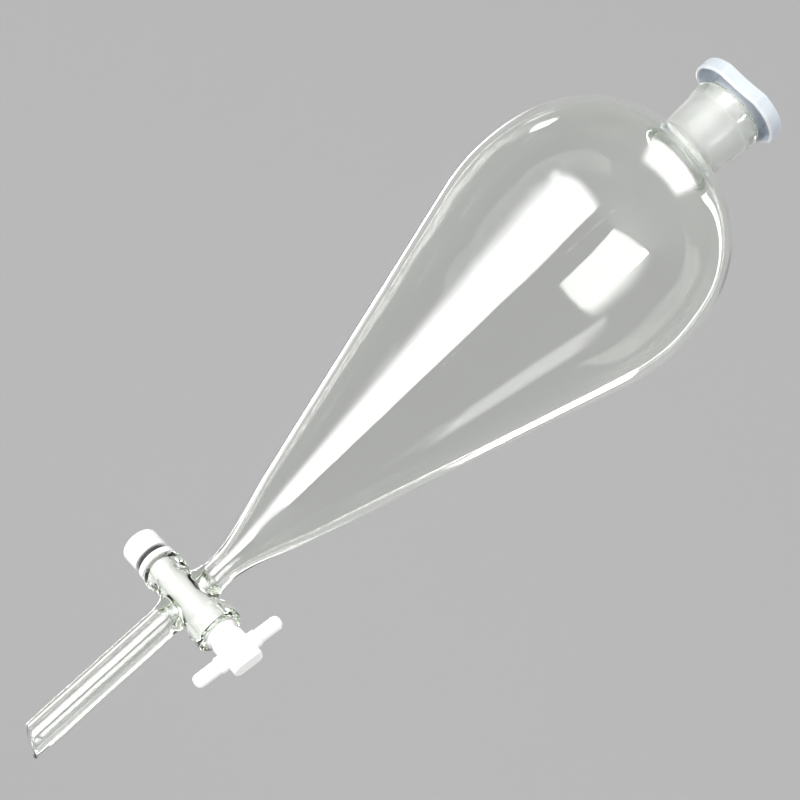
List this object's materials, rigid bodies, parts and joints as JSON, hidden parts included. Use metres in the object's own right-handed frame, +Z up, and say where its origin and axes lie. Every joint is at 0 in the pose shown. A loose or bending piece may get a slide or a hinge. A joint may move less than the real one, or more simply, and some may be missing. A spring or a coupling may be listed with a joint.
{
  "type": "separatory funnel",
  "caption": "Pear-shaped glass separatory funnel with a slant-cut stem, a tapered-plug stopcock with a T-handle, a ground socket and a hollow lobed stopper.",
  "frame": {"origin": "on the funnel's axis, at the height where a support ring of 75 mm inner diameter holds the cone", "axes": "+Z up the funnel's axis towards the stopper, +X along the stopcock towards its handle"},
  "size_m": [0.101, 0.101, 0.3415],
  "materials": {
    "borosilicate_glass": "fire-polished clear glass",
    "ground_glass": "ground inside, frosted",
    "polyethylene": "translucent moulded",
    "white_ptfe": "turned, waxy",
    "black_rubber": "moulded"
  },
  "bodies": {
    "funnel": {"pear_bulb": "borosilicate_glass", "neck_socket": "ground_glass", "stopcock_barrel": "borosilicate_glass", "stem": "borosilicate_glass"},
    "stopper": {"stopper": "polyethylene"},
    "plug": {"stopcock_plug": "white_ptfe", "washer": "white_ptfe"},
    "o_ring": {"o_ring": "black_rubber"},
    "nut": {"retaining_nut": "white_ptfe"}
  },
  "joints": [
    {"name": "stopper_lift", "type": "slide", "parent": "funnel", "child": "stopper", "axis": [0, 0, 1], "range_m": [0, 0.045]},
    {"name": "stopcock_turn", "type": "hinge", "parent": "funnel", "child": "plug", "pos_m": [0, 0, -0.1283], "axis": [1, 0, 0], "continuous": true},
    {"name": "nut_advance", "type": "slide", "parent": "plug", "child": "o_ring", "axis": [-1, 0, 0], "range_m": [0, 0.0082]},
    {"name": "nut_turn", "type": "hinge", "parent": "o_ring", "child": "nut", "pos_m": [-0.026, 0, -0.1283], "axis": [-1, 0, 0], "range_deg": [0, 1440]}
  ],
  "couplings": [
    {"joint": "nut_advance", "follows": "nut_turn", "m_per_rad": 0.00031831}
  ]
}
